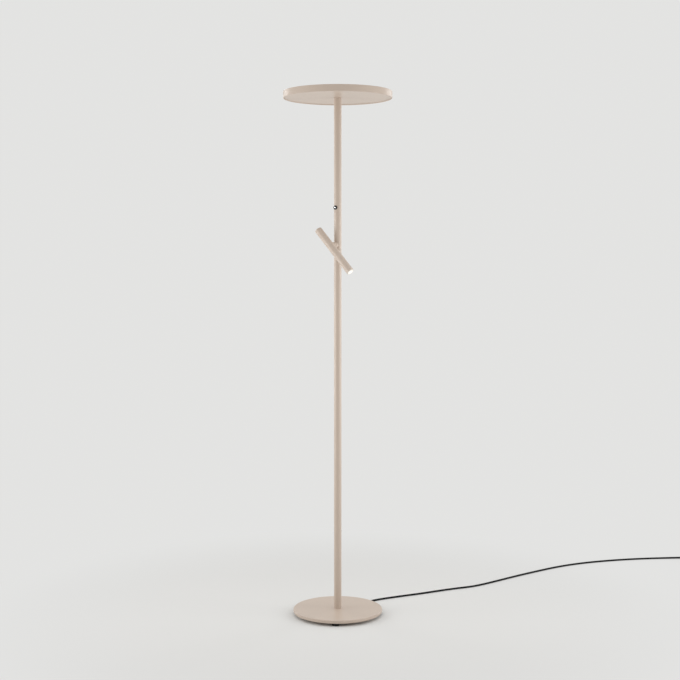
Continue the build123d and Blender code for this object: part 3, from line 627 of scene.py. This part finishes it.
# %% Assign finishes by slot
finish_of_slot = {
    "sand_paint": sand_coat,
    "black_rubber": foot_rubber,
    "black_plastic": black_moulding,
    "cord_sheath": cord_sheath,
    "steel": zinc_steel,
    "button_metal": button_metal,
    "pin_metal": sleeved_pins,
    "opal": opal_disc,
    "lens": frosted_lens,
    "aluminium": bare_aluminium,
    "reflector": bright_reflector,
    "white_board": solder_mask,
    "led": phosphor,
    "white_plastic": white_nylon,
    "insulation": red_insulation,
}
for subpart in frame["record"]["subparts"]:
    piece = pieces[subpart["node"]]
    piece.data.materials.clear()
    piece.data.materials.append(finish_of_slot[subpart["material_slot"]])

# %% [markdown]
# ## The floor
# A pale floor carries the lamp and gives soft light back to the underside of the head.
# A studio sweep curves up behind the object, and would stand in the way when we walk round the lamp.
# So the floor is a flat disc, so wide that its edge is lost in the background from every side.

# %% Floor disc
floor_radius = 60.0
floor_sides = 64

floor_mesh = bpy.data.meshes.new("studio_floor")
floor_angles = [2 * math.pi * side / floor_sides for side in range(floor_sides)]
floor_rim = [(floor_radius * math.cos(angle), floor_radius * math.sin(angle), 0) for angle in floor_angles]
floor_mesh.from_pydata(floor_rim, [], [tuple(range(floor_sides))])
studio_floor = put_in_scene("studio_floor", floor_mesh)
print("floor radius:", floor_radius)

# %% [markdown]
# Near the lamp the floor is a matt surface, which takes the lamp's shadow. Further out it fades into the
# colour of the background, so that no horizon shows: a Mix Shader goes from the matt surface to an even glow.
# A glowing face shows no shadow of its own. The Ambient Occlusion node gives one back: it darkens
# the far floor where something lies close above it, under the cord, its coil and the plug.

# %% Floor finish
pale = (0.77, 0.77, 0.76)
contact_reach = 0.08
fade_start = 0.35
fade_end = 1.3

floor_finish, tree, shader = new_finish(
    "studio_floor", Base_Color=(0.80, 0.80, 0.79, 1), Roughness=0.9, Specular_IOR_Level=0.0
)
contact = add_node(tree, "AmbientOcclusion", Color=(*pale, 1), Distance=contact_reach)
far_glow = add_node(tree, "Emission", Strength=1.0)
tree.links.new(contact.outputs["Color"], far_glow.inputs["Color"])
reach = from_axis(tree, lamp_foot, up)
fade = ranged(tree, reach, low=0, high=1, start=fade_start, end=fade_end, blend="SMOOTHSTEP")
far_mix = add_node(tree, "MixShader")
tree.links.new(fade, far_mix.inputs["Fac"])
tree.links.new(shader.outputs["BSDF"], far_mix.inputs[1])
tree.links.new(far_glow.outputs["Emission"], far_mix.inputs[2])
tree.links.new(far_mix.outputs["Shader"], tree.nodes["Material Output"].inputs["Surface"])
floor_mesh.materials.append(floor_finish)
print("floor fades from", fade_start, "to", fade_end)

# %% [markdown]
# ## The background
# The world has two jobs: it gives even light to the lamp, and it is the pale background that we see.
# One colour can't do both at the right level. The Light Path node tells the rays apart: those from the
# camera, from a mirror and through glass get the pale background, and all others get the light.

# %% World
ambient_colour = (1.0, 0.99, 0.97)
ambient_strength = 0.55

world = bpy.data.worlds.new("studio_world")
bpy.context.scene.world = world
world.use_nodes = True
tree = world.node_tree
ambient = tree.nodes["Background"]
set_inputs(ambient, Color=(*ambient_colour, 1), Strength=ambient_strength)
seen = add_node(tree, "Background", Color=(*pale, 1), Strength=1.0)
rays = add_node(tree, "LightPath").outputs
clear_rays = worked_out(tree, "Math", "MAXIMUM", rays["Is Glossy Ray"], rays["Is Transmission Ray"])
seen_rays = worked_out(tree, "Math", "MAXIMUM", rays["Is Camera Ray"], clear_rays["Value"])
world_mix = add_node(tree, "MixShader")
tree.links.new(seen_rays["Value"], world_mix.inputs["Fac"])
tree.links.new(ambient.outputs["Background"], world_mix.inputs[1])
tree.links.new(seen.outputs["Background"], world_mix.inputs[2])
tree.links.new(world_mix.outputs["Shader"], tree.nodes["World Output"].inputs["Surface"])
print("ambient strength:", ambient_strength)

# %% [markdown]
# ## Studio lamps
# A photographer lights a thin tube from both sides, which leaves its middle a shade darker and makes it
# look round. Point lamps would throw hard shadows, so we use area lamps: their size sets how soft the
# shadows are, and the camera doesn't see them.

# %% A soft box
beam_spread = math.radians(110)


def soft_box(name, place, aim, size, power):
    """An area lamp of a width and height at a place, turned towards a point."""
    data = bpy.data.lights.new(name, "AREA")
    data.shape = "RECTANGLE"
    data.spread = beam_spread
    data.size, data.size_y = size
    data.energy = power
    lamp = put_in_scene(name, data)
    lamp.location = place
    lamp.rotation_euler = (aim - place).to_track_quat("-Z", "Y").to_euler()
    lamp.visible_camera = False
    return lamp


print("soft boxes spread over", round(math.degrees(beam_spread)), "degrees")

# %% [markdown]
# The side pair stands at the height of the pole's middle, so that the light falls off towards its two ends.
# A second pair behind keeps the far side from going dull. A wide box overhead lights the top of the base,
# and the head shades the pole below it. All places are measured from the camera's own right and back, so the
# light stays with the picture.

# %% Place the soft boxes
to_right = Vector((math.cos(view_angle), math.sin(view_angle), 0))
to_back = Vector((-math.sin(view_angle), math.cos(view_angle), 0))
pole_middle = up * 0.95
side_reach = 1.7
side_forward = 0.3
side_size = (0.8, 1.2)
side_power = 5.1
back_reach = 1.8
back_height = 1.5
back_size = (0.8, 2.4)
back_power = 4.8
top_forward = 0.6
top_height = 3.6
top_aim = up * 0.6
top_size = (2.4, 2.4)
top_power = 7.4

for name, side in (("left", -1), ("right", 1)):
    side_place = to_right * side * side_reach - to_back * side_forward + pole_middle
    back_place = (to_right * side + to_back) * back_reach + up * back_height
    soft_box(name + "_box", side_place, pole_middle, side_size, side_power)
    soft_box("back_" + name + "_box", back_place, pole_middle, back_size, back_power)
soft_box("top_box", up * top_height - to_back * top_forward, top_aim, top_size, top_power)

# %% [markdown]
# ## Closing
# Blender's usual view transform mutes strong colours. The Standard one shows them as they are written, which we
# want, because they were matched to a picture.

# %% View transform
bpy.context.scene.view_settings.view_transform = "Standard"
